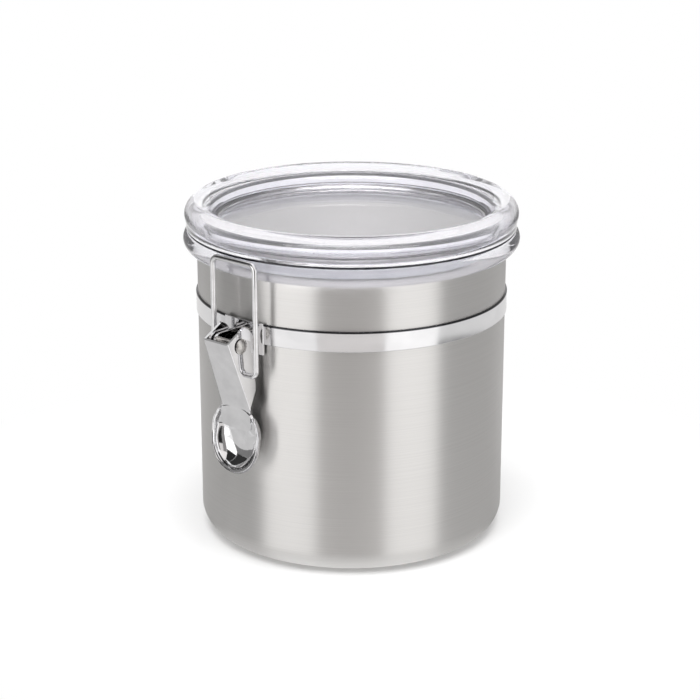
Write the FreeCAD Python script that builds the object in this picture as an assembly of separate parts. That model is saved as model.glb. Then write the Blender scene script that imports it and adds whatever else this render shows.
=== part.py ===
import FreeCAD, Part
import math
import os

# Clamp-lid food canister, in millimetres.
# Origin: centre of the base, +Z up, latch at the front (-Y), lid hinge at the back (+Y).

# Steel can
CAN_RADIUS = 62.0
CAN_WALL = 0.8
CAN_HEIGHT = 121.0
BASE_CORNER = 10.0
RIM_HEM_DEPTH = 4.0

# Chromed band round the can
BAND_DROP = 20.7
BAND_WIDTH = 8.0
BAND_THICKNESS = 0.7
BAND_EDGE = 0.25

# Clear lid
SKIRT_DROP = 3.0
SKIRT_CLEARANCE = 0.6
FLANGE_ROUND = 4.0
FLANGE_OVERHANG = 5.4
RIM_OVERHANG = 4.4
RIM_HEIGHT = 11.4
RIM_WIDTH = 11.8
LID_WALL = 2.8
LID_FLOOR = 2.6
RECESS_DEPTH = 8.4
RECESS_FILLET = 2.0
FLANGE_SHOULDER_ANGLE = 52.0
GROOVE_DEPTH = 0.3
GROOVE_HEIGHT = 0.6
RIM_SHOULDER_ANGLE = 48.0
RIM_FULLNESS = 1.04
LOCATING_RING_DEPTH = 1.6

# Silicone seal
SEAL_HEIGHT = 3.0
SEAL_REST_GAP = 0.1
SEAL_SIDE_GAP = 0.15

# Wire of the bail and the hinge loop
WIRE_RADIUS = 1.1
WIRE_BEND = 2.6
WIRE_SEAT_GAP = 0.3
WIRE_SEAT_ANGLE = 34.0
BAIL_HALF_WIDTH = 10.95
LOOP_HALF_WIDTH = 11.0
LOOP_END_GAP = 0.4
PIVOT_CLEARANCE = 0.08

# Latch lever, a pressed channel that ends in a dished thumb tab
LEVER_SHEET = 1.0
LEVER_TOP_HALF = 6.5
LEVER_NECK_HALF = 7.65
PIN_STANDOFF = 9.5
PIN_RISE = 1.0
LEVER_HEAD = 7.2
LEVER_LIP_OUT = 7.1
LEVER_LIP_UP = 1.9
LEVER_APEX_BACK = 2.4
LEVER_APEX_UP = 7.0
LEVER_NECK_DROP = 26.8
LEVER_NECK_STANDOFF = 6.3
LEVER_BACK_STANDOFF = 2.5
BAIL_DROP = 12.3
TAB_RADIUS = 12.0
TAB_DROP = 25.9
TAB_SIDE = 4.0
TAB_SHOULDER_ROUND = 10.0
TAB_DISH_RADIUS = 40.0
TAB_DISH_RISE = 17.0
TAB_DISH_STANDOFF = 5.2

# Latch pin, a rivet
PIN_RADIUS = 1.6
PIN_HEAD_RADIUS = 3.0
PIN_HEAD_HEIGHT = 1.3
PIN_HEAD_GAP = 0.25

# Latch bracket, a saddle on the band with two ears
BRACKET_SHEET = 1.0
BRACKET_HALF_WIDTH = 10.0
BRACKET_DROP = 4.0
BRACKET_RISE = 0.6
EAR_SHEET = 1.2
EAR_HALF_GAP = 3.7
EAR_ROUND = 3.4

# Hinge plate at the back, with a rolled knuckle
HINGE_DROP = 9.0
HINGE_PLATE_HALF_WIDTH = 11.0
HINGE_STRAP_HALF_WIDTH = 6.5
HINGE_SHEET = 1.0

# Places worked out from the sizes above
BAND_TOP = CAN_HEIGHT - BAND_DROP
BAND_BOTTOM = BAND_TOP - BAND_WIDTH
BAND_OUTER = CAN_RADIUS + BAND_THICKNESS
SKIRT_BOTTOM = CAN_HEIGHT - SKIRT_DROP
SKIRT_INNER = CAN_RADIUS + SKIRT_CLEARANCE
FLANGE_OUTER = CAN_RADIUS + FLANGE_OVERHANG
FLANGE_CENTRE_R = FLANGE_OUTER - FLANGE_ROUND
FLANGE_CENTRE_Z = SKIRT_BOTTOM + FLANGE_ROUND
FLANGE_TOP = FLANGE_CENTRE_Z + FLANGE_ROUND
RIM_OUTER = CAN_RADIUS + RIM_OVERHANG
RIM_TOP = FLANGE_TOP + RIM_HEIGHT
RIM_CREST_R = RIM_OUTER - RIM_WIDTH / 2
RIM_INNER = RIM_OUTER - RIM_WIDTH
FLOOR_TOP = RIM_TOP - RECESS_DEPTH
SEAL_BOTTOM = CAN_HEIGHT + SEAL_REST_GAP
LOCATING_OUTER = RIM_INNER + LID_WALL
WIRE_SEAT_REACH = FLANGE_ROUND + WIRE_RADIUS + WIRE_SEAT_GAP
WIRE_PLANE = FLANGE_CENTRE_R + WIRE_SEAT_REACH * math.cos(math.radians(WIRE_SEAT_ANGLE))
WIRE_BAR_HEIGHT = FLANGE_CENTRE_Z + WIRE_SEAT_REACH * math.sin(math.radians(WIRE_SEAT_ANGLE))
PIN_R = CAN_RADIUS + PIN_STANDOFF
PIN_HEIGHT = BAND_BOTTOM + PIN_RISE
LEVER_NECK_HEIGHT = PIN_HEIGHT - LEVER_NECK_DROP
TAB_BOTTOM = LEVER_NECK_HEIGHT - TAB_DROP
BRACKET_BOTTOM = BAND_BOTTOM - BRACKET_DROP
HINGE_HEIGHT = CAN_HEIGHT - HINGE_DROP
BAIL_PIVOT_Z = PIN_HEIGHT - BAIL_DROP


def vec(x, y, z):
    return FreeCAD.Vector(x, y, z)


X_AXIS = vec(1, 0, 0)
Z_AXIS = vec(0, 0, 1)
ORIGIN = vec(0, 0, 0)


def line(a, b):
    return Part.makeLine(a, b)


def arc(a, middle, b):
    return Part.Arc(a, middle, b).toShape()


def polar(centre_r, centre_z, radius, degrees):
    """A point of the half section, in the XZ plane, on a circle round (centre_r, centre_z)."""
    angle = math.radians(degrees)
    return vec(centre_r + radius * math.cos(angle), 0, centre_z + radius * math.sin(angle))


def face_of(edges):
    return Part.Face(Part.Wire(edges))


def turned(edges):
    """A closed half section in the XZ plane, turned all the way round Z."""
    return face_of(edges).revolve(ORIGIN, Z_AXIS, 360)


def ring(inner, outer, bottom, height):
    outside = Part.makeCylinder(outer, height, vec(0, 0, bottom))
    return outside.cut(Part.makeCylinder(inner, height, vec(0, 0, bottom)))


def side_plate(points, x_low, x_high):
    """A flat plate across the width: points are (distance in front of the axis, height)."""
    corners = [vec(x_low, -out, up) for out, up in points]
    outline = Part.makePolygon(corners + corners[:1])
    return Part.Face(outline).extrude(vec(x_high - x_low, 0, 0))


def cross_bar(radius, out, up, x_low, x_high):
    """A round bar along X, at a distance in front of the axis."""
    return Part.makeCylinder(radius, x_high - x_low, vec(x_low, -out, up), X_AXIS)


def swept_wire(points, bend):
    """Round wire along straight runs joined by tangent bends."""
    edges = []
    start = points[0]
    for before, corner, after in zip(points, points[1:], points[2:]):
        back = (before - corner).normalize()
        ahead = (after - corner).normalize()
        first = corner + back * bend
        last = corner + ahead * bend
        middle = corner + (back + ahead) * bend * (1 - math.sqrt(0.5))
        edges.append(line(start, first))
        edges.append(arc(first, middle, last))
        start = last
    edges.append(line(start, points[-1]))
    path = Part.Wire(edges)
    section = Part.Wire(Part.makeCircle(WIRE_RADIUS, points[0], points[1] - points[0]))
    return path.makePipeShell([section], True, False)


def can_body():
    """Deep-drawn can: flat base, round base corner, and a rim hemmed inwards."""
    inner_corner = BASE_CORNER - CAN_WALL
    inner_radius = CAN_RADIUS - CAN_WALL
    hem_radius = inner_radius - CAN_WALL
    corner_r = CAN_RADIUS - BASE_CORNER
    rim_spring = CAN_HEIGHT - CAN_WALL
    hem_end = CAN_HEIGHT - RIM_HEM_DEPTH
    outside_corner = polar(corner_r, BASE_CORNER, BASE_CORNER, -45)
    inside_corner = polar(corner_r, BASE_CORNER, inner_corner, -45)
    edges = [
        line(ORIGIN, vec(corner_r, 0, 0)),
        arc(vec(corner_r, 0, 0), outside_corner, vec(CAN_RADIUS, 0, BASE_CORNER)),
        line(vec(CAN_RADIUS, 0, BASE_CORNER), vec(CAN_RADIUS, 0, rim_spring)),
        arc(vec(CAN_RADIUS, 0, rim_spring), vec(inner_radius, 0, CAN_HEIGHT), vec(hem_radius, 0, rim_spring)),
        line(vec(hem_radius, 0, rim_spring), vec(hem_radius, 0, hem_end)),
        line(vec(hem_radius, 0, hem_end), vec(inner_radius, 0, hem_end - CAN_WALL)),
        line(vec(inner_radius, 0, hem_end - CAN_WALL), vec(inner_radius, 0, BASE_CORNER)),
        arc(vec(inner_radius, 0, BASE_CORNER), inside_corner, vec(corner_r, 0, CAN_WALL)),
        line(vec(corner_r, 0, CAN_WALL), vec(0, 0, CAN_WALL)),
        line(vec(0, 0, CAN_WALL), ORIGIN),
    ]
    return turned(edges)


def band():
    """Chromed strip drawn tight round the can, with eased edges."""
    strip = ring(CAN_RADIUS, BAND_OUTER, BAND_BOTTOM, BAND_WIDTH)
    rims = []
    for edge in strip.Edges:
        closed_circle = len(edge.Vertexes) == 1
        if closed_circle and edge.Curve.Radius > CAN_RADIUS + BAND_THICKNESS / 2:
            rims.append(edge)
    return strip.makeFillet(BAND_EDGE, rims)


def saddle(half_width, bottom, height, sheet, centre_y):
    """A curved plate that lies on the band, centred at the front (-1) or the back (+1)."""
    shell = ring(BAND_OUTER, BAND_OUTER + sheet, bottom, height)
    reach = BAND_OUTER + sheet
    depth = reach * centre_y
    window = Part.makeBox(2 * half_width, reach, height, vec(-half_width, min(0, depth), bottom))
    return shell.common(window)


def latch_bracket():
    """Saddle plate on the band with two ears that hold the latch pin."""
    height = BAND_TOP + BRACKET_RISE - BRACKET_BOTTOM
    plate = saddle(BRACKET_HALF_WIDTH, BRACKET_BOTTOM, height, BRACKET_SHEET, -1)
    root = BAND_OUTER + BRACKET_SHEET / 2
    low = PIN_HEIGHT - EAR_ROUND
    bracket = plate
    for side in (-1, 1):
        inner = side * EAR_HALF_GAP
        outer = side * (EAR_HALF_GAP + EAR_SHEET)
        x_low = min(inner, outer)
        arm = Part.makeBox(EAR_SHEET, PIN_R - root, 2 * EAR_ROUND, vec(x_low, -PIN_R, low))
        end = cross_bar(EAR_ROUND, PIN_R, PIN_HEIGHT, x_low, x_low + EAR_SHEET)
        bracket = bracket.fuse([arm, end])
    bore = cross_bar(PIN_RADIUS, PIN_R, PIN_HEIGHT, -BRACKET_HALF_WIDTH, BRACKET_HALF_WIDTH)
    return bracket.cut(bore).removeSplitter()


def lever_half_width(height):
    """Half width of the lever outside, which grows from its lip down to its neck."""
    lip = PIN_HEIGHT + LEVER_LIP_UP
    share = (lip - height) / (lip - LEVER_NECK_HEIGHT)
    return LEVER_TOP_HALF + (LEVER_NECK_HALF - LEVER_TOP_HALF) * share


def pin_head_seat():
    return lever_half_width(PIN_HEIGHT - PIN_HEAD_RADIUS) + PIN_HEAD_GAP


def latch_pin():
    """Rivet through the ears and the lever, with a low domed head on each side."""
    seat = pin_head_seat()
    pin = cross_bar(PIN_RADIUS, PIN_R, PIN_HEIGHT, -seat, seat)
    dome_radius = (PIN_HEAD_RADIUS ** 2 + PIN_HEAD_HEIGHT ** 2) / (2 * PIN_HEAD_HEIGHT)
    for side in (-1, 1):
        face = side * seat
        centre = vec(face + side * (PIN_HEAD_HEIGHT - dome_radius), -PIN_R, PIN_HEIGHT)
        ball = Part.makeSphere(dome_radius, centre)
        slab = cross_bar(PIN_HEAD_RADIUS, PIN_R, PIN_HEIGHT, min(face, 2 * face), max(face, 2 * face))
        pin = pin.fuse(ball.common(slab))
    return pin.removeSplitter()


def tapered_slab(inset):
    """The space between the lever's two tapering sides, moved in by inset."""
    low = TAB_BOTTOM
    high = PIN_HEIGHT + 2 * LEVER_HEAD
    wide = lever_half_width(low) - inset
    narrow = lever_half_width(high) - inset
    front = -(PIN_R + 3 * LEVER_HEAD)
    corners = [vec(-wide, front, low), vec(wide, front, low)]
    corners += [vec(narrow, front, high), vec(-narrow, front, high)]
    return Part.Face(Part.makePolygon(corners + corners[:1])).extrude(vec(0, -front, 0))


def channel_block(inset):
    """The lever's wedge seen from the side: round behind the pin, a leaning face, a thin neck."""
    lip = (PIN_R + LEVER_LIP_OUT, PIN_HEIGHT + LEVER_LIP_UP)
    neck = (CAN_RADIUS + LEVER_NECK_STANDOFF, LEVER_NECK_HEIGHT)
    run = math.hypot(lip[0] - neck[0], lip[1] - neck[1])
    shift = inset * run / (lip[1] - neck[1])
    back = CAN_RADIUS + LEVER_BACK_STANDOFF
    foot = LEVER_NECK_HEIGHT - LEVER_NECK_HALF
    width = 2 * LEVER_NECK_HALF
    if inset:
        low_back = (back - width, foot)
        high_back = (back - width, PIN_HEIGHT + 2 * LEVER_HEAD)
        high_front = (lip[0] - shift, PIN_HEIGHT + 2 * LEVER_HEAD)
        points = [low_back, (neck[0] - shift, foot), (neck[0] - shift, neck[1])]
        points += [(lip[0] - shift, lip[1]), high_front, high_back]
        return side_plate(points, -width, width)
    apex = (PIN_R - LEVER_APEX_BACK, PIN_HEIGHT + LEVER_APEX_UP)
    tail = (back, neck[1] + LEVER_NECK_HALF)
    points = [(PIN_R - LEVER_HEAD, PIN_HEIGHT), tail, (neck[0] - LEVER_SHEET, foot)]
    points += [(neck[0], foot), neck, lip, apex, (apex[0], PIN_HEIGHT)]
    disc = cross_bar(LEVER_HEAD, PIN_R, PIN_HEIGHT, -width, width)
    behind_corner = vec(-width, -apex[0], PIN_HEIGHT - LEVER_HEAD)
    behind_apex = Part.makeBox(2 * width, LEVER_HEAD, 2 * LEVER_HEAD, behind_corner)
    return side_plate(points, -width, width).fuse(disc.common(behind_apex))


def tab_outline(depth):
    """Prism of the thumb tab's outline: a half round below, with round shoulders up to the neck."""
    centre = TAB_BOTTOM + TAB_RADIUS
    shoulder = centre + TAB_SIDE
    bend = TAB_SHOULDER_ROUND
    front = -(CAN_RADIUS + depth)
    top = shoulder + bend

    def at(x, z):
        return vec(x, front, z)

    diagonal = bend * (1 - math.sqrt(0.5))
    edges = [
        arc(at(-TAB_RADIUS, centre), at(0, TAB_BOTTOM), at(TAB_RADIUS, centre)),
        line(at(TAB_RADIUS, centre), at(TAB_RADIUS, shoulder)),
        arc(at(TAB_RADIUS, shoulder), at(TAB_RADIUS - diagonal, top - diagonal), at(TAB_RADIUS - bend, top)),
        line(at(TAB_RADIUS - bend, top), at(bend - TAB_RADIUS, top)),
        arc(at(bend - TAB_RADIUS, top), at(diagonal - TAB_RADIUS, top - diagonal), at(-TAB_RADIUS, shoulder)),
        line(at(-TAB_RADIUS, shoulder), at(-TAB_RADIUS, centre)),
    ]
    return face_of(edges).extrude(vec(0, depth, 0))


def thumb_tab():
    """Dished thumb tab, hollow towards the front, cut from a spherical shell."""
    centre_out = CAN_RADIUS + TAB_DISH_STANDOFF + TAB_DISH_RADIUS
    centre = vec(0, -centre_out, TAB_BOTTOM + TAB_DISH_RISE)
    back = Part.makeSphere(TAB_DISH_RADIUS + LEVER_SHEET, centre)
    shell = back.cut(Part.makeSphere(TAB_DISH_RADIUS, centre))
    return shell.common(tab_outline(2 * TAB_RADIUS))


def latch_lever():
    """Pressed lever: a channel open at the back and top, with holes for the pin and the bail."""
    outside = channel_block(0).common(tapered_slab(0))
    hollow = channel_block(LEVER_SHEET).common(tapered_slab(LEVER_SHEET))
    channel = outside.cut(hollow)
    lever = channel.fuse(thumb_tab())
    reach = 2 * LEVER_NECK_HALF
    pin_hole = cross_bar(PIN_RADIUS + PIVOT_CLEARANCE, PIN_R, PIN_HEIGHT, -reach, reach)
    bail_hole = cross_bar(WIRE_RADIUS + PIVOT_CLEARANCE, WIRE_PLANE, BAIL_PIVOT_Z, -reach, reach)
    return lever.cut([pin_hole, bail_hole]).removeSplitter()


def bail_wire():
    """Wire bail: its ends hook into the lever, and its top bar lies on the lid's flange."""
    end = lever_half_width(BAIL_PIVOT_Z) - LEVER_SHEET - WIRE_RADIUS / 2
    points = [
        vec(end, -WIRE_PLANE, BAIL_PIVOT_Z),
        vec(BAIL_HALF_WIDTH, -WIRE_PLANE, BAIL_PIVOT_Z),
        vec(BAIL_HALF_WIDTH, -WIRE_PLANE, WIRE_BAR_HEIGHT),
        vec(-BAIL_HALF_WIDTH, -WIRE_PLANE, WIRE_BAR_HEIGHT),
        vec(-BAIL_HALF_WIDTH, -WIRE_PLANE, BAIL_PIVOT_Z),
        vec(-end, -WIRE_PLANE, BAIL_PIVOT_Z),
    ]
    return swept_wire(points, WIRE_BEND)


def lid():
    """Clear lid: skirt with a round flange, a rounded rim above a groove, and a sunk floor."""
    centre_r = FLANGE_CENTRE_R
    centre_z = FLANGE_CENTRE_Z
    groove_low = polar(centre_r, centre_z, FLANGE_ROUND, FLANGE_SHOULDER_ANGLE)
    groove = vec(groove_low.x - GROOVE_DEPTH, 0, FLANGE_TOP)
    rim_base = vec(RIM_OUTER - GROOVE_DEPTH, 0, FLANGE_TOP + GROOVE_HEIGHT)
    rim_side = vec(RIM_OUTER, 0, FLANGE_TOP + RIM_HEIGHT / 3)
    crest = vec(RIM_CREST_R, 0, RIM_TOP)
    half = RIM_WIDTH / 2
    over_out = math.cos(math.radians(RIM_SHOULDER_ANGLE)) * RIM_FULLNESS * half
    over_up = math.sin(math.radians(RIM_SHOULDER_ANGLE)) * RIM_FULLNESS
    shoulder = vec(RIM_CREST_R + over_out, 0, rim_side.z + over_up * (RIM_TOP - rim_side.z))
    inner_side = vec(RIM_INNER, 0, FLOOR_TOP + RECESS_FILLET)
    inner_over = vec(RIM_CREST_R - over_out, 0, inner_side.z + over_up * (RIM_TOP - inner_side.z))
    fillet_mid = polar(RIM_INNER - RECESS_FILLET, FLOOR_TOP + RECESS_FILLET, RECESS_FILLET, -45)
    floor_edge = vec(RIM_INNER - RECESS_FILLET, 0, FLOOR_TOP)
    floor_bottom = FLOOR_TOP - LID_FLOOR
    ring_bottom = CAN_HEIGHT - LOCATING_RING_DEPTH
    ceiling = RIM_TOP - LID_WALL
    cave_mid = (LOCATING_OUTER + SKIRT_INNER) / 2
    edges = [
        line(vec(SKIRT_INNER, 0, SKIRT_BOTTOM), vec(centre_r, 0, SKIRT_BOTTOM)),
        arc(vec(centre_r, 0, SKIRT_BOTTOM), vec(FLANGE_OUTER, 0, centre_z), groove_low),
        line(groove_low, groove),
        line(groove, rim_base),
        line(rim_base, rim_side),
        arc(rim_side, shoulder, crest),
        arc(crest, inner_over, inner_side),
        arc(inner_side, fillet_mid, floor_edge),
        line(floor_edge, vec(0, 0, FLOOR_TOP)),
        line(vec(0, 0, FLOOR_TOP), vec(0, 0, floor_bottom)),
        line(vec(0, 0, floor_bottom), vec(RIM_INNER - LID_WALL / 2, 0, floor_bottom)),
        line(vec(RIM_INNER - LID_WALL / 2, 0, floor_bottom), vec(RIM_INNER, 0, ring_bottom)),
        line(vec(RIM_INNER, 0, ring_bottom), vec(LOCATING_OUTER, 0, ring_bottom)),
        line(vec(LOCATING_OUTER, 0, ring_bottom), vec(LOCATING_OUTER, 0, FLANGE_TOP)),
        arc(vec(LOCATING_OUTER, 0, FLANGE_TOP), vec(cave_mid, 0, ceiling), vec(SKIRT_INNER, 0, FLANGE_TOP)),
        line(vec(SKIRT_INNER, 0, FLANGE_TOP), vec(SKIRT_INNER, 0, SKIRT_BOTTOM)),
    ]
    return turned(edges)


def lid_seal():
    """Silicone ring in the lid's channel, flat where it meets the can's rim."""
    inner = LOCATING_OUTER + SEAL_SIDE_GAP
    outer = SKIRT_INNER - SEAL_SIDE_GAP
    return ring(inner, outer, SEAL_BOTTOM, SEAL_HEIGHT)


def hinge_loop():
    """Wire loop at the back: the top bar lies in the lid's groove, the two ends meet in the knuckle."""
    low = HINGE_HEIGHT
    end = LOOP_END_GAP / 2
    points = [
        vec(end, WIRE_PLANE, low),
        vec(LOOP_HALF_WIDTH, WIRE_PLANE, low),
        vec(LOOP_HALF_WIDTH, WIRE_PLANE, WIRE_BAR_HEIGHT),
        vec(-LOOP_HALF_WIDTH, WIRE_PLANE, WIRE_BAR_HEIGHT),
        vec(-LOOP_HALF_WIDTH, WIRE_PLANE, low),
        vec(-end, WIRE_PLANE, low),
    ]
    return swept_wire(points, WIRE_BEND)


def hinge_plate():
    """Saddle plate on the band whose strap rises to a rolled knuckle round the loop's lower bar."""
    plate = saddle(HINGE_PLATE_HALF_WIDTH, BAND_BOTTOM, BAND_WIDTH, HINGE_SHEET, 1)
    half = HINGE_STRAP_HALF_WIDTH
    bore = WIRE_RADIUS + PIVOT_CLEARANCE
    roll = bore + HINGE_SHEET
    inner = BAND_OUTER
    tangent = -WIRE_PLANE + roll
    strap_points = [
        (-inner - HINGE_SHEET, BAND_BOTTOM + HINGE_SHEET),
        (-inner - HINGE_SHEET, BAND_TOP),
        (tangent - HINGE_SHEET, HINGE_HEIGHT),
        (tangent, HINGE_HEIGHT),
        (-inner, BAND_TOP),
        (-inner, BAND_BOTTOM + HINGE_SHEET),
    ]
    strap = side_plate(strap_points, -half, half)
    can_space = Part.makeCylinder(BAND_OUTER, CAN_HEIGHT)
    knuckle = cross_bar(roll, -WIRE_PLANE, HINGE_HEIGHT, -half, half)
    eye = cross_bar(bore, -WIRE_PLANE, HINGE_HEIGHT, -half, half)
    return plate.fuse([strap.cut(can_space), knuckle]).cut(eye).removeSplitter()


PIECES = {
    "can_body": can_body,
    "band": band,
    "latch_bracket": latch_bracket,
    "latch_pin": latch_pin,
    "latch_lever": latch_lever,
    "bail_wire": bail_wire,
    "lid": lid,
    "lid_seal": lid_seal,
    "hinge_loop": hinge_loop,
    "hinge_plate": hinge_plate,
}

os.makedirs("parts", exist_ok=True)
for name, make in PIECES.items():
    shape = make()
    shape.exportStep("parts/" + name + ".step")
    print(name, shape.ShapeType, len(shape.Solids), shape.isValid(), round(shape.Volume, 2))
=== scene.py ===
import math

import bmesh
import bpy
from mathutils import Matrix, Vector


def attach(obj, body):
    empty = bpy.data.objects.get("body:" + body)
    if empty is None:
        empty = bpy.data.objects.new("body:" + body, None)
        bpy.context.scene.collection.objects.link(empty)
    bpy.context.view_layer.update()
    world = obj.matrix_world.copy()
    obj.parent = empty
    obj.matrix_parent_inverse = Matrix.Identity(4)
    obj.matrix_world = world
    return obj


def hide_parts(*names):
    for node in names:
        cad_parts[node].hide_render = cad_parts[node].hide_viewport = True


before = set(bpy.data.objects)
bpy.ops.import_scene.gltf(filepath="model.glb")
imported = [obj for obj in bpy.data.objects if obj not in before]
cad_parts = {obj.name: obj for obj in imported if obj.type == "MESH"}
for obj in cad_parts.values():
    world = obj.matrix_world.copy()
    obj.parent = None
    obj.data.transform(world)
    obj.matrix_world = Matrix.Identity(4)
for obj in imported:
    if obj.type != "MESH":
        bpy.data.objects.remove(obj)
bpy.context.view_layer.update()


# Can: one deep-drawn cup of thin stainless steel that stands on its flat base.
# A belt has brushed it round and round, which leaves fine level lines, and its rim
# is hemmed inwards so that no raw edge is left.
can_radius = 0.062
can_wall = 0.0008
can_height = 0.121
base_corner = 0.010
hem_depth = 0.004
can_sides = 240
corner_steps = 16
hem_steps = 12
facing_up = 0.9
same_point = 1e-6
noise_low = 0.3
noise_high = 0.7
steel_dark = (0.755, 0.745, 0.73, 1)
steel_light = (0.82, 0.81, 0.795, 1)
# The inside's colours are painted light: much lighter than the outside steel, standing in for light that
# reaches the inside through the lid.
painted_light_inside_dark = (0.95, 0.935, 0.92, 1)
painted_light_inside_light = (0.97, 0.955, 0.94, 1)


def bow(centre, radius, start, end, steps):
    """Points (distance from the axis, height) along an arc. Angles are in degrees."""
    points = []
    for step in range(steps + 1):
        angle = math.radians(start + (end - start) * step / steps)
        points.append((centre[0] + radius * math.cos(angle), centre[1] + radius * math.sin(angle)))
    return points


def turned(section, around):
    """A closed half section turned all the way round the upright axis."""
    shell = bmesh.new()
    turns = [2 * math.pi * step / around for step in range(around)]
    rings = []
    for reach, height in section:
        if reach < same_point:
            rings.append([shell.verts.new((0, 0, height))] * around)
        else:
            places = [(reach * math.cos(turn), reach * math.sin(turn), height) for turn in turns]
            rings.append([shell.verts.new(place) for place in places])
    for lower, upper in zip(rings, rings[1:] + rings[:1]):
        for here in range(around):
            there = (here + 1) % around
            corners = list(dict.fromkeys([lower[here], lower[there], upper[there], upper[here]]))
            if len(corners) > 2:
                shell.faces.new(corners)
    return shell


def piece_from(name, shell, crease):
    """A smooth-shaded object from a mesh in the making, with edges sharp past crease degrees."""
    bmesh.ops.remove_doubles(shell, verts=shell.verts, dist=same_point)
    bmesh.ops.recalc_face_normals(shell, faces=shell.faces)
    mesh = bpy.data.meshes.new(name)
    shell.to_mesh(mesh)
    shell.free()
    mesh.shade_smooth()
    mesh.set_sharp_from_angle(angle=math.radians(crease))
    piece = bpy.data.objects.new(name, mesh)
    bpy.context.scene.collection.objects.link(piece)
    return piece


def new_finish(name):
    """A new material, with its node tree and its shader's sockets."""
    finish = bpy.data.materials.new(name)
    finish.use_nodes = True
    return finish, finish.node_tree, finish.node_tree.nodes["Principled BSDF"].inputs


def grain(tree, stretch, detail):
    """Noise on the piece's own place. Stretch gives how many patches fit in a metre along each axis."""
    place = tree.nodes.new("ShaderNodeTexCoord")
    mapping = tree.nodes.new("ShaderNodeMapping")
    mapping.inputs["Scale"].default_value = stretch
    noise = tree.nodes.new("ShaderNodeTexNoise")
    noise.inputs["Scale"].default_value = 1.0
    noise.inputs["Detail"].default_value = detail
    tree.links.new(place.outputs["Object"], mapping.inputs["Vector"])
    tree.links.new(mapping.outputs["Vector"], noise.inputs["Vector"])
    return noise.outputs["Fac"]


def spread(tree, source, low, high, socket):
    """Spreads the middle of a noise over a range of numbers on a shader's socket."""
    span = tree.nodes.new("ShaderNodeMapRange")
    span.inputs["From Min"].default_value = noise_low
    span.inputs["From Max"].default_value = noise_high
    span.inputs["To Min"].default_value = low
    span.inputs["To Max"].default_value = high
    tree.links.new(source, span.inputs["Value"])
    tree.links.new(span.outputs["Result"], socket)


def shades(tree, source, dark, light, socket):
    """Runs from a dark to a light shade over the middle of a noise."""
    ramp = tree.nodes.new("ShaderNodeValToRGB")
    ramp.color_ramp.elements[0].position = noise_low
    ramp.color_ramp.elements[0].color = dark
    ramp.color_ramp.elements[1].position = noise_high
    ramp.color_ramp.elements[1].color = light
    tree.links.new(source, ramp.inputs["Fac"])
    tree.links.new(ramp.outputs["Color"], socket)


def relief(tree, source, depth, strength, socket):
    """Shades the surface as if a noise raised it by a depth in metres."""
    bump = tree.nodes.new("ShaderNodeBump")
    bump.inputs["Distance"].default_value = depth
    bump.inputs["Strength"].default_value = strength
    tree.links.new(source, bump.inputs["Height"])
    tree.links.new(bump.outputs["Normal"], socket)


def brushed_round(tree, sockets, strength):
    """Draws reflections out across lines that run round the upright axis."""
    sockets["Anisotropic"].default_value = strength
    sockets["Anisotropic Rotation"].default_value = 0.25
    round_axis = tree.nodes.new("ShaderNodeTangent")
    round_axis.direction_type = "RADIAL"
    round_axis.axis = "Z"
    tree.links.new(round_axis.outputs["Tangent"], sockets["Tangent"])


brushed_steel, tree, steel = new_finish("brushed_steel")
steel["Metallic"].default_value = 1.0
brushed_round(tree, steel, 0.9)
brush_lines = grain(tree, (24, 24, 7000), 3)
shades(tree, brush_lines, steel_dark, steel_light, steel["Base Color"])
spread(tree, brush_lines, 0.36, 0.42, steel["Roughness"])
relief(tree, brush_lines, 0.00001, 0.1, steel["Normal"])

# Inside finish: drawing marks as random tone, on a colour painted lighter than the outside steel as
# painted light.
drawn_inside_painted_light, tree, inside = new_finish("drawn_inside_painted_light")
inside["Metallic"].default_value = 0.92
brushed_round(tree, inside, 0.8)
drawing_marks = grain(tree, (30, 30, 3000), 3)
shades(tree, drawing_marks, painted_light_inside_dark, painted_light_inside_light, inside["Base Color"])
spread(tree, drawing_marks, 0.30, 0.40, inside["Roughness"])

corner_reach = can_radius - base_corner
base_ring = corner_reach / 2
inside_radius = can_radius - can_wall
hem_middle = (inside_radius, can_height - can_wall)
can_section = [(0, 0), (base_ring, 0)]
can_section += bow((corner_reach, base_corner), base_corner, -90, 0, corner_steps)
can_section += bow(hem_middle, can_wall, 0, 180, hem_steps)
can_section += [(inside_radius - can_wall, can_height - hem_depth)]
can_section += [(inside_radius, can_height - hem_depth - can_wall)]
can_section += bow((corner_reach, base_corner), base_corner - can_wall, 0, -90, corner_steps)
can_section += [(base_ring, can_wall), (0, can_wall)]
can = piece_from("steel_can", turned(can_section, can_sides), crease=30)
can.data.materials.append(brushed_steel)
can.data.materials.append(drawn_inside_painted_light)
for face in can.data.polygons:
    leans_in = face.normal.dot(Vector((face.center.x, face.center.y, 0))) < -same_point
    looks_up = face.center.z > 0 and face.normal.z > facing_up
    face.material_index = int(leans_in or looks_up)
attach(can, "can")
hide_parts("can_body")


# Band: a narrow chromed strip drawn tight round the can below its rim. It carries the latch
# and the hinge. The dark line along its upper edge is painted shade in its colour.
band_low = 0.0923
band_high = 0.1003
band_outer = 0.0627
band_edge = 0.0003
top_shade_height = 0.0008
top_shade_fade = 0.7
band_edge_steps = 5
chrome_shade = (0.74, 0.74, 0.75, 1)
chrome_light = (0.84, 0.84, 0.85, 1)
painted_top_shade = (0.05, 0.05, 0.055, 1)

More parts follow.
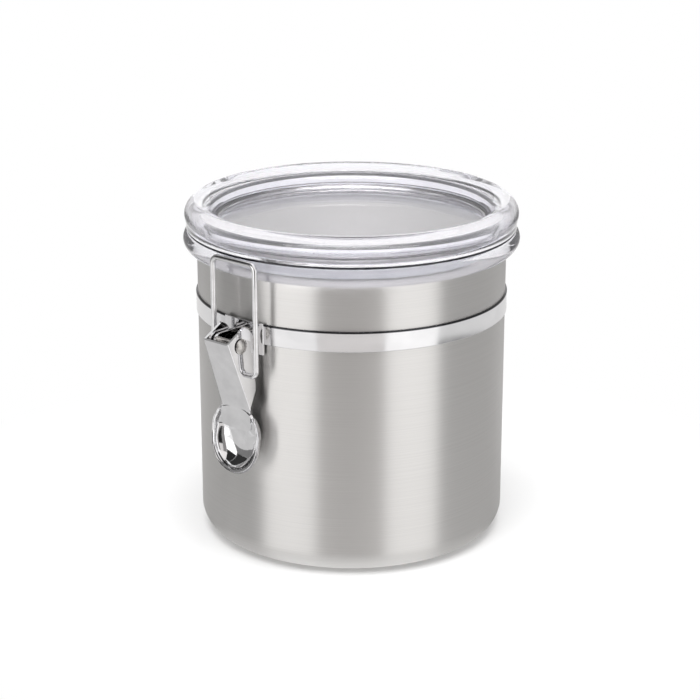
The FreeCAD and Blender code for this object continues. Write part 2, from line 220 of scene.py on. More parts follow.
band_chrome, tree, chrome = new_finish("band_chrome")
chrome["Metallic"].default_value = 1.0
smudges = grain(tree, (70, 70, 110), 2)
spread(tree, smudges, 0.10, 0.18, chrome["Roughness"])
relief(tree, grain(tree, (60, 60, 90), 1), 0.0002, 0.04, chrome["Normal"])
# Painted shade: the colour turns near black over the top of the band's upper edge, by height.
place = tree.nodes.new("ShaderNodeTexCoord")
parts = tree.nodes.new("ShaderNodeSeparateXYZ")
top_shade = tree.nodes.new("ShaderNodeMapRange")
top_shade.inputs["From Min"].default_value = band_high - top_shade_height
top_shade.inputs["From Max"].default_value = band_high - top_shade_height * top_shade_fade
top_shade_mix = tree.nodes.new("ShaderNodeMix")
top_shade_mix.data_type = "RGBA"
top_shade_share = top_shade_mix.inputs[0]
strip_colour = top_shade_mix.inputs[6]
top_shade_colour = top_shade_mix.inputs[7]
mixed_colour = top_shade_mix.outputs[2]
shades(tree, smudges, chrome_shade, chrome_light, strip_colour)
top_shade_colour.default_value = painted_top_shade
tree.links.new(place.outputs["Object"], parts.inputs["Vector"])
tree.links.new(parts.outputs["Z"], top_shade.inputs["Value"])
tree.links.new(top_shade.outputs["Result"], top_shade_share)
tree.links.new(mixed_colour, chrome["Base Color"])

edge_reach = band_outer - band_edge
band_section = [(can_radius, band_low)]
band_section += bow((edge_reach, band_low + band_edge), band_edge, -90, 0, band_edge_steps)
band_section += [(band_outer, band_high - top_shade_height)]
band_section += bow((edge_reach, band_high - band_edge), band_edge, 0, 90, band_edge_steps)
band_section += [(can_radius, band_high)]
band = piece_from("chrome_band", turned(band_section, can_sides), crease=30)
band.data.materials.append(band_chrome)
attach(band, "can")
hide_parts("band")


# Latch bracket: a pressed saddle of chromed steel, spot-welded to the band at the front.
# Two ears bent out of it, with round ends, carry the rivet that the lever turns on.
bracket_low = 0.0883
bracket_high = 0.1009
bracket_half = 0.0100
bracket_sheet = 0.0010
ear_inner = 0.0037
ear_sheet = 0.0012
ear_round = 0.0034
ear_steps = 16
saddle_steps = 16
edge_ease = 0.00018
ease_segments = 2
eased_past = 40
sharp_past = 50
pin_reach = 0.0715
pin_height = 0.0933


def saddle(shell, half_width, low, high, sheet, facing):
    """A bent plate on the band, facing the front (-1) or the back (+1)."""
    outer = band_outer + sheet
    corners = ((band_outer, low), (band_outer, high), (outer, high), (outer, low))
    columns = []
    for step in range(saddle_steps + 1):
        across = half_width * (2 * step / saddle_steps - 1)
        column = []
        for reach, height in corners:
            out = facing * math.sqrt(reach ** 2 - across ** 2)
            column.append(shell.verts.new((across, out, height)))
        columns.append(column)
    for left, right in zip(columns, columns[1:]):
        for here in range(len(corners)):
            there = (here + 1) % len(corners)
            shell.faces.new((left[here], right[here], right[there], left[there]))
    shell.faces.new(columns[0])
    shell.faces.new(columns[-1])


def plate(shell, outline, low, high):
    """A flat plate across the width, from its outline of (distance in front of the axis, height)."""
    near = [shell.verts.new((low, -out, up)) for out, up in outline]
    far = [shell.verts.new((high, -out, up)) for out, up in outline]
    shell.faces.new(near)
    shell.faces.new(far)
    for here in range(len(outline)):
        there = (here + 1) % len(outline)
        shell.faces.new((near[here], near[there], far[there], far[here]))


def settle(piece):
    """Turns what a piece's modifiers make into its plain mesh."""
    made = bpy.data.meshes.new_from_object(piece.evaluated_get(bpy.context.evaluated_depsgraph_get()))
    piece.modifiers.clear()
    piece.data = made


def ease_edges(piece, width):
    """Rounds a pressed piece's edges, as tumbling and plating leave them, and keeps its flats flat."""
    rounding = piece.modifiers.new("eased_edges", "BEVEL")
    rounding.width = width
    rounding.segments = ease_segments
    rounding.limit_method = "ANGLE"
    rounding.angle_limit = math.radians(eased_past)
    settle(piece)
    piece.data.shade_smooth()
    piece.data.set_sharp_from_angle(angle=math.radians(sharp_past))
    flats = piece.modifiers.new("flats", "WEIGHTED_NORMAL")
    flats.weight = 100
    flats.keep_sharp = True
    settle(piece)


pressed_chrome, tree, chrome = new_finish("pressed_chrome")
chrome["Metallic"].default_value = 1.0
polish = grain(tree, (160, 160, 160), 2)
shades(tree, polish, chrome_shade, chrome_light, chrome["Base Color"])
spread(tree, polish, 0.05, 0.11, chrome["Roughness"])
relief(tree, grain(tree, (130, 130, 130), 1), 0.0003, 0.05, chrome["Normal"])

bracket_shell = bmesh.new()
saddle(bracket_shell, bracket_half, bracket_low, bracket_high, bracket_sheet, -1)
ear_root = band_outer + bracket_sheet / 2
ear_outline = [(ear_root, pin_height - ear_round)]
ear_outline += bow((pin_reach, pin_height), ear_round, -90, 90, ear_steps)
ear_outline += [(ear_root, pin_height + ear_round)]
plate(bracket_shell, ear_outline, ear_inner, ear_inner + ear_sheet)
plate(bracket_shell, ear_outline, -ear_inner - ear_sheet, -ear_inner)
bracket = piece_from("bracket", bracket_shell, crease=40)
ease_edges(bracket, edge_ease)
bracket.data.materials.append(pressed_chrome)
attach(bracket, "can")
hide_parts("latch_bracket")


# Rivet: a plain steel pin through the ears and the lever, with a low domed head set on each
# side. It stays still while the lever turns on it.
rivet_radius = 0.0016
rivet_head = 0.0030
rivet_dome = 0.0013
rivet_seat = 0.006946
rivet_sides = 48
dome_steps = 10
rivet_shade = (0.50, 0.48, 0.46, 1)
rivet_light = (0.66, 0.645, 0.62, 1)

rivet_steel, tree, metal = new_finish("rivet_steel")
metal["Metallic"].default_value = 1.0
wear = grain(tree, (600, 600, 600), 3)
shades(tree, wear, rivet_shade, rivet_light, metal["Base Color"])
spread(tree, wear, 0.22, 0.36, metal["Roughness"])
relief(tree, wear, 0.00005, 0.1, metal["Normal"])

dome_radius = (rivet_head ** 2 + rivet_dome ** 2) / (2 * rivet_dome)
dome_angle = math.degrees(math.asin(rivet_head / dome_radius))
dome = bow((0, rivet_seat + rivet_dome - dome_radius), dome_radius, 90 - dome_angle, 90, dome_steps)
rivet_section = [(reach, -along) for reach, along in reversed(dome)]
rivet_section += [(rivet_radius, -rivet_seat), (rivet_radius, rivet_seat)]
rivet_section += dome
rivet_shell = turned(rivet_section, rivet_sides)
lie_across = Matrix.Translation((0, -pin_reach, pin_height)) @ Matrix.Rotation(math.radians(90), 4, "Y")
bmesh.ops.transform(rivet_shell, matrix=lie_across, verts=rivet_shell.verts)
rivet = piece_from("rivet", rivet_shell, crease=40)
rivet.data.materials.append(rivet_steel)
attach(rivet, "can")
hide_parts("latch_pin")


# Lever: one pressing of chromed sheet. A wedge-shaped channel, open at its back and top, leans
# out from the can over the rivet, and its lower end runs into a dished thumb tab.
lever_sheet = 0.0010
lip = (0.0786, 0.0952)
neck = (0.0683, 0.0665)
lip_half = 0.0065
neck_half = 0.00765
head_radius = 0.0072
head_start = 112
head_steps = 10
channel_back = (0.0645, 0.07415)
channel_foot = 0.0580
foot_corner = 0.0022
foot_turn = 15
foot_squareness = 0.4
foot_flatness = 0.5
fold_round = 0.0009
fold_segments = 4
apex = (0.0691, 0.1003)
tab_radius = 0.0120
tab_low = 0.0406
tab_side = 0.0040
tab_shoulder = 0.0100
tab_steps = 40
shoulder_steps = 16
tab_roll = 0.0007
roll_middle = 0.96
roll_half = 0.04
roll_steps = 8
roll_start = 0.0015
roll_run = 0.005
dish_share = 0.92
dish_rings = 20
first_ring = 2
dish_steepness = 4
shoulder_steepness = 2
dish_ball = 0.040
dish_reach = 0.0672
dish_height = 0.0576
dish_bottom = 0.0646


def thicken(piece, sheet, front, offset):
    """Gives a pressed sheet its thickness, behind the side that looks along front."""
    widest = max(piece.data.polygons, key=lambda face: abs(face.normal.dot(front)) * face.area)
    if widest.normal.dot(front) < 0:
        piece.data.flip_normals()
    walls = piece.modifiers.new("sheet", "SOLIDIFY")
    walls.thickness = sheet
    walls.offset = offset
    settle(piece)


def lever_half(height):
    """Half the lever's width at a height. It widens from the lip down to the neck."""
    return lip_half + (neck_half - lip_half) * (lip[1] - height) / (lip[1] - neck[1])


def outward(points, side):
    """Points of the lever's side, set out to its half width at their height."""
    return [(side * lever_half(up), -out, up) for out, up in points]


lever_shell = bmesh.new()
cheek = [neck, lip, apex]
cheek += bow((pin_reach, pin_height), head_radius, head_start, 180, head_steps)
cheek += [channel_back]
left = [lever_shell.verts.new(p) for p in outward(cheek, -1)]
right = [lever_shell.verts.new(p) for p in outward(cheek, 1)]
foot_half = lever_half(channel_foot)
foot = []
for angle in range(0, 181, foot_turn):
    turn = math.radians(angle)
    across = math.copysign(abs(math.cos(turn)) ** foot_squareness, math.cos(turn)) * foot_half
    up = channel_foot + foot_corner * (1 - math.sin(turn) ** foot_flatness)
    foot.append(lever_shell.verts.new((-across, -neck[0], up)))
lever_shell.faces.new(left)
lever_shell.faces.new(list(reversed(right)))
lever_shell.faces.new((left[0], right[0], right[1], left[1]))
lever_shell.faces.new([left[0]] + foot + [right[0]])
folds = [e for e in lever_shell.edges if set(e.verts) in ({left[0], left[1]}, {right[0], right[1]})]
bmesh.ops.bevel(
    lever_shell, geom=folds, offset=fold_round, segments=fold_segments, profile=0.5, affect="EDGES"
)
lever = piece_from("lever", lever_shell, crease=30)
thicken(lever, lever_sheet, Vector((0, -1, 0)), -1)
ease_edges(lever, edge_ease)
lever.data.materials.append(pressed_chrome)
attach(lever, "lever")
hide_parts("latch_lever")

tab_middle = tab_low + tab_radius
shoulder_height = tab_middle + tab_side
outline = bow((0, tab_middle), tab_radius, -180, 0, tab_steps)
outline += bow((tab_radius - tab_shoulder, shoulder_height), tab_shoulder, 0, 90, shoulder_steps)
outline += bow((tab_shoulder - tab_radius, shoulder_height), tab_shoulder, 90, 180, shoulder_steps)


def dished(share, lift):
    """The tab's outline drawn in to a share of its size, sunk into the dish and lifted off it."""
    ring = []
    for across, up in outline:
        height = tab_middle + (up - tab_middle) * share
        edge = dish_reach + dish_ball - math.sqrt(dish_ball ** 2 - across ** 2 - (up - dish_height) ** 2)
        up_the_side = min(1, max(0, (up - tab_middle) / tab_side))
        steepness = dish_steepness + shoulder_steepness * up_the_side
        below_neck = min(1, max(0, (neck[1] - roll_start - height) / roll_run))
        reach = dish_bottom + (edge - dish_bottom) * share ** steepness + lift * below_neck
        ring.append(tab_shell.verts.new((across * share, -reach, height)))
    return ring


tab_shell = bmesh.new()
rings = [dished(dish_share * step / dish_rings, 0) for step in range(first_ring, dish_rings)]
for step in range(roll_steps + 1):
    roll_turn = math.pi * step / roll_steps
    rings.append(dished(roll_middle - roll_half * math.cos(roll_turn), tab_roll * math.sin(roll_turn)))
for inner, outer in zip(rings, rings[1:]):
    for here in range(len(outline)):
        there = (here + 1) % len(outline)
        tab_shell.faces.new((inner[here], inner[there], outer[there], outer[here]))
tab_shell.faces.new(rings[0])
tab = piece_from("thumb_tab", tab_shell, sharp_past)
thicken(tab, lever_sheet, Vector((0, -1, 0)), -1)
tab.data.shade_smooth()
tab.data.set_sharp_from_angle(angle=math.radians(sharp_past))
tab.data.materials.append(pressed_chrome)
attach(tab, "lever")


# Bail: one length of chromed spring wire. Its two ends hook into the lever below the rivet,
# and its top bar pulls down over the lid's flange when the lever is pressed home.
wire_radius = 0.0011
wire_bend = 0.0026
wire_sides = 24
bend_steps = 12
wire_plane = 0.067877
bar_height = 0.12502
bail_half = 0.01095
bail_pivot = 0.0810
bail_end = 0.00547


def bent_wire_nodes():
    """Geometry nodes that round the corners of a route and run a wire along it."""
    made = bpy.data.node_groups.new("bent_wire", "GeometryNodeTree")
    made.interface.new_socket("Route", in_out="INPUT", socket_type="NodeSocketGeometry")
    radius = made.interface.new_socket("Wire Radius", in_out="INPUT", socket_type="NodeSocketFloat")
    bend = made.interface.new_socket("Bend", in_out="INPUT", socket_type="NodeSocketFloat")
    finish = made.interface.new_socket("Finish", in_out="INPUT", socket_type="NodeSocketMaterial")
    made.interface.new_socket("Wire", in_out="OUTPUT", socket_type="NodeSocketGeometry")
    given = made.nodes.new("NodeGroupInput")
    route = made.nodes.new("GeometryNodeMeshToCurve")
    rounded = made.nodes.new("GeometryNodeFilletCurve")
    rounded.mode = "POLY"
    rounded.inputs["Count"].default_value = bend_steps
    section = made.nodes.new("GeometryNodeCurvePrimitiveCircle")
    section.inputs["Resolution"].default_value = wire_sides
    sweep = made.nodes.new("GeometryNodeCurveToMesh")
    sweep.inputs["Fill Caps"].default_value = True
    real = made.nodes.new("GeometryNodeRealizeInstances")
    coat = made.nodes.new("GeometryNodeSetMaterial")
    result = made.nodes.new("NodeGroupOutput")
    made.links.new(given.outputs["Route"], route.inputs["Mesh"])
    made.links.new(route.outputs["Curve"], rounded.inputs["Curve"])
    made.links.new(given.outputs["Bend"], rounded.inputs["Radius"])
    made.links.new(given.outputs["Wire Radius"], section.inputs["Radius"])
    made.links.new(rounded.outputs["Curve"], sweep.inputs["Curve"])
    made.links.new(section.outputs["Curve"], sweep.inputs["Profile Curve"])
    made.links.new(sweep.outputs["Mesh"], real.inputs["Geometry"])
    made.links.new(real.outputs["Geometry"], coat.inputs["Geometry"])
    made.links.new(given.outputs["Finish"], coat.inputs["Material"])
    made.links.new(coat.outputs["Geometry"], result.inputs["Wire"])
    return made, radius.identifier, bend.identifier, finish.identifier


wire_chrome, tree, chrome = new_finish("wire_chrome")
chrome["Metallic"].default_value = 1.0
drawn = grain(tree, (300, 300, 300), 2)
shades(tree, drawn, chrome_shade, chrome_light, chrome["Base Color"])
spread(tree, drawn, 0.06, 0.12, chrome["Roughness"])
relief(tree, grain(tree, (900, 900, 900), 2), 0.00002, 0.08, chrome["Normal"])
wire_nodes, wire_radius_input, wire_bend_input, wire_finish_input = bent_wire_nodes()


def bent_wire(name, corners):
    """A wire along straight runs between corners, with its bends rounded, as a plain mesh."""
    route = bpy.data.meshes.new(name)
    route.from_pydata(corners, [(here, here + 1) for here in range(len(corners) - 1)], [])
    piece = bpy.data.objects.new(name, route)
    bpy.context.scene.collection.objects.link(piece)
    run = piece.modifiers.new("bent_wire", "NODES")
    run.node_group = wire_nodes
    run[wire_radius_input] = wire_radius
    run[wire_bend_input] = wire_bend
    run[wire_finish_input] = wire_chrome
    settle(piece)
    piece.data.shade_smooth()
    piece.data.set_sharp_from_angle(angle=math.radians(sharp_past))
    return piece


bail = bent_wire("bail", [
    (bail_end, -wire_plane, bail_pivot),
    (bail_half, -wire_plane, bail_pivot),
    (bail_half, -wire_plane, bar_height),
    (-bail_half, -wire_plane, bar_height),
    (-bail_half, -wire_plane, bail_pivot),
    (-bail_end, -wire_plane, bail_pivot),
])
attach(bail, "bail")
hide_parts("bail_wire")


# Hinge plate: a chromed saddle on the band at the back. A strap rises from it and is rolled
# into a knuckle, which holds the lower bar of the hinge loop.
hinge_height = 0.1120
hinge_half = 0.0110
strap_half = 0.0065
hinge_sheet = 0.0010
strap_ease = 0.00015
knuckle_bore = 0.00118
knuckle_start = 180
knuckle_end = -130
knuckle_steps = 30

plate_shell = bmesh.new()
saddle(plate_shell, hinge_half, band_low, band_high, hinge_sheet, 1)
hinge_saddle = piece_from("hinge_saddle", plate_shell, crease=40)
ease_edges(hinge_saddle, edge_ease)
hinge_saddle.data.materials.append(pressed_chrome)
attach(hinge_saddle, "can")
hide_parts("hinge_plate")

roll = knuckle_bore + hinge_sheet / 2
strap_reach = band_outer + hinge_sheet / 2
strap_path = [(strap_reach, band_low + hinge_sheet), (strap_reach, band_high)]
strap_path += bow((wire_plane, hinge_height), roll, knuckle_start, knuckle_end, knuckle_steps)
strap_shell = bmesh.new()
near = [strap_shell.verts.new((-strap_half, out, up)) for out, up in strap_path]
far = [strap_shell.verts.new((strap_half, out, up)) for out, up in strap_path]
for here in range(len(strap_path) - 1):
    strap_shell.faces.new((near[here], near[here + 1], far[here + 1], far[here]))
strap = piece_from("hinge_strap", strap_shell, crease=30)
thicken(strap, hinge_sheet, Vector((0, 1, 0)), 0)
ease_edges(strap, strap_ease)
strap.data.materials.append(pressed_chrome)
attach(strap, "can")


# Hinge loop: the same wire as the bail, bent to a loop. Its top bar lies in the lid's groove,
# and its two ends meet inside the knuckle, where the lid turns.
loop_half = 0.0110
loop_gap = 0.0002

hinge_loop = bent_wire("hinge_loop_wire", [
    (loop_gap, wire_plane, hinge_height),
    (loop_half, wire_plane, hinge_height),
    (loop_half, wire_plane, bar_height),
    (-loop_half, wire_plane, bar_height),
    (-loop_half, wire_plane, hinge_height),
    (-loop_gap, wire_plane, hinge_height),
])
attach(hinge_loop, "lid")
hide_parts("hinge_loop")


# Lid: one clear moulding, faintly lilac where it is thick. A round flange covers the can's rim,
# a rounded hollow rim stands above a groove, and the floor is sunk so that canisters stack.
# The dark line along the groove is a painted reflection in the colour of the groove's faces.
flange_middle = (0.0634, 0.1220)
flange_round = 0.0040
flange_shoulder = 52
flange_steps = 28
skirt_inner = 0.0626
skirt_low = 0.1180
flange_top = 0.1260
groove_depth = 0.0003
groove_height = 0.0006
groove_slack = 0.00005
rim_outer = 0.0664
rim_inner = 0.0546
rim_top = 0.1374
rim_crest = 0.0622
rim_side_rise = 0.0038
rim_shoulder = (0.0653, 0.1356)
rim_crown = 0.0035
rim_steps = 20
rim_satin = 0.02
floor_top = 0.1290
floor_low = 0.1264
floor_ring = 0.030
recess_shoulder = (0.0575, 0.1356)
recess_round = 0.0020
recess_steps = 8
locating_outer = 0.0574
locating_low = 0.1194
lid_wall = 0.0028
plastic_tint = (0.966, 0.961, 0.996, 1)
painted_groove_dark = (0.015, 0.015, 0.02, 1)
painted_groove_light = (0.035, 0.035, 0.045, 1)


def through(start, middle, end, steps):
    """Points along the arc through three points."""
    a, b, c = Vector(start), Vector(middle), Vector(end)
    turn = 2 * (a.x * (b.y - c.y) + b.x * (c.y - a.y) + c.x * (a.y - b.y))
    squares = [p.length_squared for p in (a, b, c)]
    x = (squares[0] * (b.y - c.y) + squares[1] * (c.y - a.y) + squares[2] * (a.y - b.y)) / turn
    y = (squares[0] * (c.x - b.x) + squares[1] * (a.x - c.x) + squares[2] * (b.x - a.x)) / turn
    angles = [math.degrees(math.atan2(p.y - y, p.x - x)) for p in (a, b, c)]
    if turn > 0:
        angles[2] += 360 * (angles[2] < angles[0])
    else:
        angles[2] -= 360 * (angles[2] > angles[0])
    return bow((x, y), math.hypot(a.x - x, a.y - y), angles[0], angles[2], steps)


clear_plastic, tree, plastic = new_finish("clear_plastic")
plastic["Base Color"].default_value = plastic_tint
plastic["Transmission Weight"].default_value = 0.96
plastic["IOR"].default_value = 1.49
place = tree.nodes.new("ShaderNodeTexCoord")
level_place = tree.nodes.new("ShaderNodeVectorMath")
level_place.operation = "MULTIPLY"
level_place.inputs[1].default_value = (1, 1, 0)
from_axis = tree.nodes.new("ShaderNodeVectorMath")
from_axis.operation = "LENGTH"
satin_rim = tree.nodes.new("ShaderNodeMapRange")
satin_rim.inputs["From Min"].default_value = rim_inner - recess_round
satin_rim.inputs["From Max"].default_value = rim_inner + recess_round
satin_rim.inputs["To Min"].default_value = 0.0
satin_rim.inputs["To Max"].default_value = rim_satin
rim_and_cloud = tree.nodes.new("ShaderNodeMath")
tree.links.new(place.outputs["Object"], level_place.inputs[0])
tree.links.new(level_place.outputs["Vector"], from_axis.inputs[0])
tree.links.new(from_axis.outputs["Value"], satin_rim.inputs["Value"])
tree.links.new(satin_rim.outputs["Result"], rim_and_cloud.inputs[0])
spread(tree, grain(tree, (35, 35, 35), 2), 0.0, 0.03, rim_and_cloud.inputs[1])
tree.links.new(rim_and_cloud.outputs["Value"], plastic["Roughness"])
relief(tree, grain(tree, (45, 45, 45), 1), 0.0002, 0.008, plastic["Normal"])

# Painted reflection: the groove's outer faces are coloured near black, standing in for the dark
# reflection seen there.
painted_groove_reflection, tree, groove = new_finish("painted_groove_reflection")
painted_groove_grain = grain(tree, (400, 400, 400), 2)
shades(tree, painted_groove_grain, painted_groove_dark, painted_groove_light, groove["Base Color"])
spread(tree, painted_groove_grain, 0.08, 0.16, groove["Roughness"])

rim_side = (rim_outer, flange_top + rim_side_rise)
crest = (rim_crest, rim_top)
recess_side = (rim_inner, floor_top + recess_round)
lid_section = [(skirt_inner, skirt_low)]
lid_section += bow(flange_middle, flange_round, -90, flange_shoulder, flange_steps)
groove_foot = lid_section[-1]
groove_deep = (groove_foot[0] - groove_depth, flange_top)
lid_section += [((groove_foot[0] + groove_deep[0]) / 2, (groove_foot[1] + groove_deep[1]) / 2)]
lid_section += [groove_deep, (rim_outer - groove_depth, flange_top + groove_height)]
lid_section += through(rim_side, rim_shoulder, crest, rim_steps)
lid_section += through(crest, recess_shoulder, recess_side, rim_steps)[1:]
lid_section += bow((rim_inner - recess_round, recess_side[1]), recess_round, 0, -90, recess_steps)[1:]
lid_section += [(floor_ring, floor_top), (0, floor_top), (0, floor_low), (floor_ring, floor_low)]
lid_section += [(rim_inner - lid_wall / 2, floor_low), (rim_inner, locating_low)]
lid_section += [(locating_outer, locating_low)]
hollow_top = ((locating_outer + skirt_inner) / 2, rim_top - rim_crown)
lid_section += through((locating_outer, flange_top), hollow_top, (skirt_inner, flange_top), rim_steps)
lid = piece_from("clear_lid", turned(lid_section, can_sides), crease=30)
lid.data.materials.append(clear_plastic)
lid.data.materials.append(painted_groove_reflection)
# Outer faces in the groove take the painted dark reflection.
for face in lid.data.polygons:
    outside = math.hypot(face.center.x, face.center.y) > flange_middle[0]
    in_groove = abs(face.center.z - flange_top) < groove_height / 2 + groove_slack
    face.material_index = int(outside and in_groove)
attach(lid, "lid")
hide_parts("lid")


# Seal: a milky silicone ring pressed into the channel under the lid. It rests on the can's
# hemmed rim and has a soft rounded edge on all sides.
seal_inner = 0.05755
seal_outer = 0.06245
seal_low = 0.1211
seal_high = 0.1241
seal_round = 0.0006
seal_steps = 6
seal_sides = 180
seal_shade = (0.80, 0.81, 0.84, 1)
seal_light = (0.88, 0.89, 0.91, 1)

silicone, tree, soft = new_finish("silicone")
soft["Subsurface Weight"].default_value = 0.4
soft["Subsurface Radius"].default_value = (0.002, 0.002, 0.002)
cloud = grain(tree, (90, 90, 90), 2)
shades(tree, cloud, seal_shade, seal_light, soft["Base Color"])
spread(tree, cloud, 0.42, 0.55, soft["Roughness"])
relief(tree, grain(tree, (1500, 1500, 1500), 2), 0.00003, 0.1, soft["Normal"])

seal_corners = (
    (seal_outer - seal_round, seal_low + seal_round),
    (seal_outer - seal_round, seal_high - seal_round),
    (seal_inner + seal_round, seal_high - seal_round),
    (seal_inner + seal_round, seal_low + seal_round),
)
seal_section = []
for corner, start in zip(seal_corners, (-90, 0, 90, 180)):
    seal_section += bow(corner, seal_round, start, start + 90, seal_steps)
seal = piece_from("seal", turned(seal_section, seal_sides), crease=40)
seal.data.materials.append(silicone)
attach(seal, "lid")
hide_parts("lid_seal")


# Studio: a white floor and a white surround, with dark, grey and white cards round the canister.
# The metal shows them as broad upright bands, and only reflections see them. The one behind the
# canister is seen through the clear lid alone.
floor_half = 6
floor_paint = (0.92, 0.92, 0.92, 1)
shadow_kept = 0.07
shadow_gone = 0.20
surround_light = 0.75
softbox_place = Vector((0.25, -0.35, 1.5))
softbox_aim = Vector((0, 0, 0.05))
card_reach = 1.6
card_steps = 24
camera_tint = (0.965, 0.95)
side_tint = (0.99, 0.985)
camera_turn = 41.0

# Each card: name, its two ends in degrees round from the camera, its two edges in metres, its shade.
cards = (
    ("card_camera_left", -25, -9, -0.28, 1.3, 0.30),
    ("card_camera_right", 7, 24, -0.28, 1.3, 0.30),
    ("camera_shade", -9, 7, -0.28, 0.42, 0.02),
    ("card_camera_over", -9, 7, 0.43, 1.3, 0.80),
    ("card_camera_top", -25, 24, 1.31, 4.0, 1.0),
    ("card_camera_slit", -25, 24, -0.79, -0.29, 0.80),
    ("card_camera_low", -25, 24, -0.95, -0.80, 0.05),
    ("card_dark_left", -66, -26, 0.81, 4.0, 0.03),
    ("strip_right", 25, 65, -0.95, 2.0, 1.2),
    ("strip_left", -66, -26, -0.29, 0.80, 1.6),
    ("strip_left_low", -66, -26, -0.95, -0.30, 1.05),
    ("card_right", 66, 165, -0.28, 2.0, 0.36),
    ("card_right_slit", 66, 165, -0.54, -0.29, 0.80),
    ("card_right_low", 66, 165, -0.95, -0.55, 0.36),
    ("card_left_front", -111, -67, -0.28, 0.35, 0.22),
    ("card_left_dark", -111, -67, 0.36, 4.0, 0.04),
    ("card_left", -165, -112, -0.28, 2.0, 0.36),
    ("card_left_front_slit", -111, -67, -0.54, -0.29, 0.66),
    ("card_left_slit", -165, -112, -0.54, -0.29, 0.80),
    ("card_left_low", -165, -112, -0.95, -0.55, 0.36),
    ("card_left_front_low", -111, -67, -0.95, -0.55, 0.66),
    ("card_table", -180, 180, -2.4, -0.96, 0.66),
    ("card_behind", 138, 222, 0.40, 3.6, 0.02),
)

floor_mesh = bpy.data.meshes.new("floor")
floor_corners = [(x * floor_half, y * floor_half, 0) for x, y in ((-1, -1), (1, -1), (1, 1), (-1, 1))]
floor_mesh.from_pydata(floor_corners, [], [(0, 1, 2, 3)])
floor = bpy.data.objects.new("floor", floor_mesh)
bpy.context.scene.collection.objects.link(floor)
floor.visible_glossy = False
floor_white, tree, paint = new_finish("floor_white")
paint["Base Color"].default_value = floor_paint
paint["Roughness"].default_value = 0.9
paint["Specular IOR Level"].default_value = 0.0
place = tree.nodes.new("ShaderNodeTexCoord")
away = tree.nodes.new("ShaderNodeVectorMath")
away.operation = "LENGTH"
fade = tree.nodes.new("ShaderNodeMapRange")
fade.interpolation_type = "SMOOTHSTEP"
fade.inputs["From Min"].default_value = shadow_kept
fade.inputs["From Max"].default_value = shadow_gone
white = tree.nodes.new("ShaderNodeEmission")
floor_mix = tree.nodes.new("ShaderNodeMixShader")
tree.links.new(place.outputs["Object"], away.inputs[0])
tree.links.new(away.outputs["Value"], fade.inputs["Value"])
tree.links.new(fade.outputs["Result"], floor_mix.inputs["Fac"])
tree.links.new(tree.nodes["Principled BSDF"].outputs["BSDF"], floor_mix.inputs[1])
tree.links.new(white.outputs["Emission"], floor_mix.inputs[2])
tree.links.new(floor_mix.outputs["Shader"], tree.nodes["Material Output"].inputs["Surface"])
floor_mesh.materials.append(floor_white)


def white_once_bounced(tree, shade, socket):
    """Keeps a card dark to what looks straight through the lid, and white to light that has bounced."""
    path = tree.nodes.new("ShaderNodeLightPath")
    bounces = tree.nodes.new("ShaderNodeMath")
    strength = tree.nodes.new("ShaderNodeMapRange")
    strength.inputs["To Min"].default_value = 1.0
    strength.inputs["To Max"].default_value = 1.0 / shade
    tree.links.new(path.outputs["Diffuse Depth"], bounces.inputs[0])
    tree.links.new(path.outputs["Glossy Depth"], bounces.inputs[1])
    tree.links.new(bounces.outputs["Value"], strength.inputs["Value"])
    tree.links.new(strength.outputs["Result"], socket)


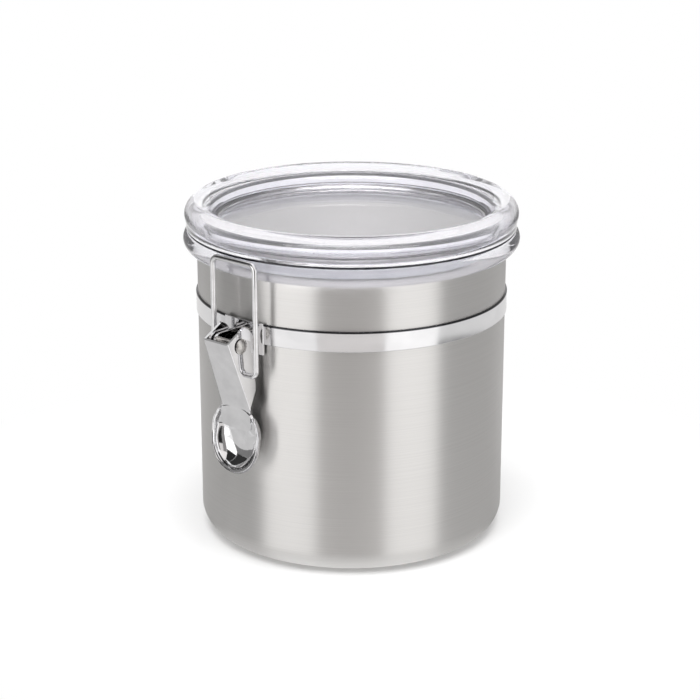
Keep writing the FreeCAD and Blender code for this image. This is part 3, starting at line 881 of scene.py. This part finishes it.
for name, start, end, low, high, shade in cards:
    card_paint = bpy.data.materials.new(name)
    card_paint.use_nodes = True
    card_paint.node_tree.nodes.clear()
    glow = card_paint.node_tree.nodes.new("ShaderNodeEmission")
    green, blue = camera_tint if name.startswith("card_camera") else side_tint
    glow.inputs["Color"].default_value = (shade, shade * green, shade * blue, 1)
    behind = name == "card_behind"
    if behind:
        white_once_bounced(card_paint.node_tree, shade, glow.inputs["Strength"])
    card_out = card_paint.node_tree.nodes.new("ShaderNodeOutputMaterial")
    card_paint.node_tree.links.new(glow.outputs["Emission"], card_out.inputs["Surface"])
    corners = []
    for step in range(card_steps + 1):
        turn = math.radians(camera_turn + start + (end - start) * step / card_steps)
        side = (card_reach * math.sin(turn), -card_reach * math.cos(turn))
        corners += [(*side, low), (*side, high)]
    faces = [(2 * s, 2 * s + 1, 2 * s + 3, 2 * s + 2) for s in range(card_steps)]
    card_mesh = bpy.data.meshes.new(name)
    card_mesh.from_pydata(corners, [], faces)
    card_mesh.materials.append(card_paint)
    card = bpy.data.objects.new(name, card_mesh)
    bpy.context.scene.collection.objects.link(card)
    card.visible_camera = False
    card.visible_diffuse = False
    card.visible_shadow = False
    card.visible_transmission = behind
    card.visible_glossy = not behind

lamp = bpy.data.lights.new("overhead_softbox", "AREA")
lamp.size = 1.4
lamp.energy = 22
softbox = bpy.data.objects.new("overhead_softbox", lamp)
softbox.location = softbox_place
softbox.rotation_euler = (softbox_aim - softbox_place).to_track_quat("-Z", "Y").to_euler()
softbox.visible_glossy = False
softbox.visible_camera = False
bpy.context.scene.collection.objects.link(softbox)

world = bpy.data.worlds.new("white_surround")
world.use_nodes = True
bpy.context.scene.world = world
tree = world.node_tree
background = tree.nodes["Background"]
background.inputs["Color"].default_value = (1, 1, 1, 1)
ray = tree.nodes.new("ShaderNodeLightPath")
seen = tree.nodes.new("ShaderNodeMath")
seen.operation = "MAXIMUM"
seen_or_through = tree.nodes.new("ShaderNodeMath")
seen_or_through.operation = "MAXIMUM"
level = tree.nodes.new("ShaderNodeMapRange")
level.inputs["To Min"].default_value = surround_light
level.inputs["To Max"].default_value = 1.0
tree.links.new(ray.outputs["Is Camera Ray"], seen.inputs[0])
tree.links.new(ray.outputs["Is Glossy Ray"], seen.inputs[1])
tree.links.new(seen.outputs["Value"], seen_or_through.inputs[0])
tree.links.new(ray.outputs["Is Transmission Ray"], seen_or_through.inputs[1])
tree.links.new(seen_or_through.outputs["Value"], level.inputs["Value"])
tree.links.new(level.outputs["Result"], background.inputs["Strength"])
bpy.context.scene.view_settings.view_transform = "Standard"

camera_rise = math.radians(18.12)
camera_distance = 0.8336
camera_target = Vector((0, 0, 0.0729))
turn = math.radians(camera_turn)
flat = math.cos(camera_rise)
back = Vector((math.sin(turn) * flat, -math.cos(turn) * flat, math.sin(camera_rise)))
lens = bpy.data.cameras.new("camera")
lens.sensor_width = 36
lens.lens = 104.906
lens.shift_x = -0.00227
camera = bpy.data.objects.new("camera", lens)
camera.location = camera_target + back * camera_distance
camera.rotation_euler = (-back).to_track_quat("-Z", "Y").to_euler()
bpy.context.scene.collection.objects.link(camera)
bpy.context.scene.camera = camera
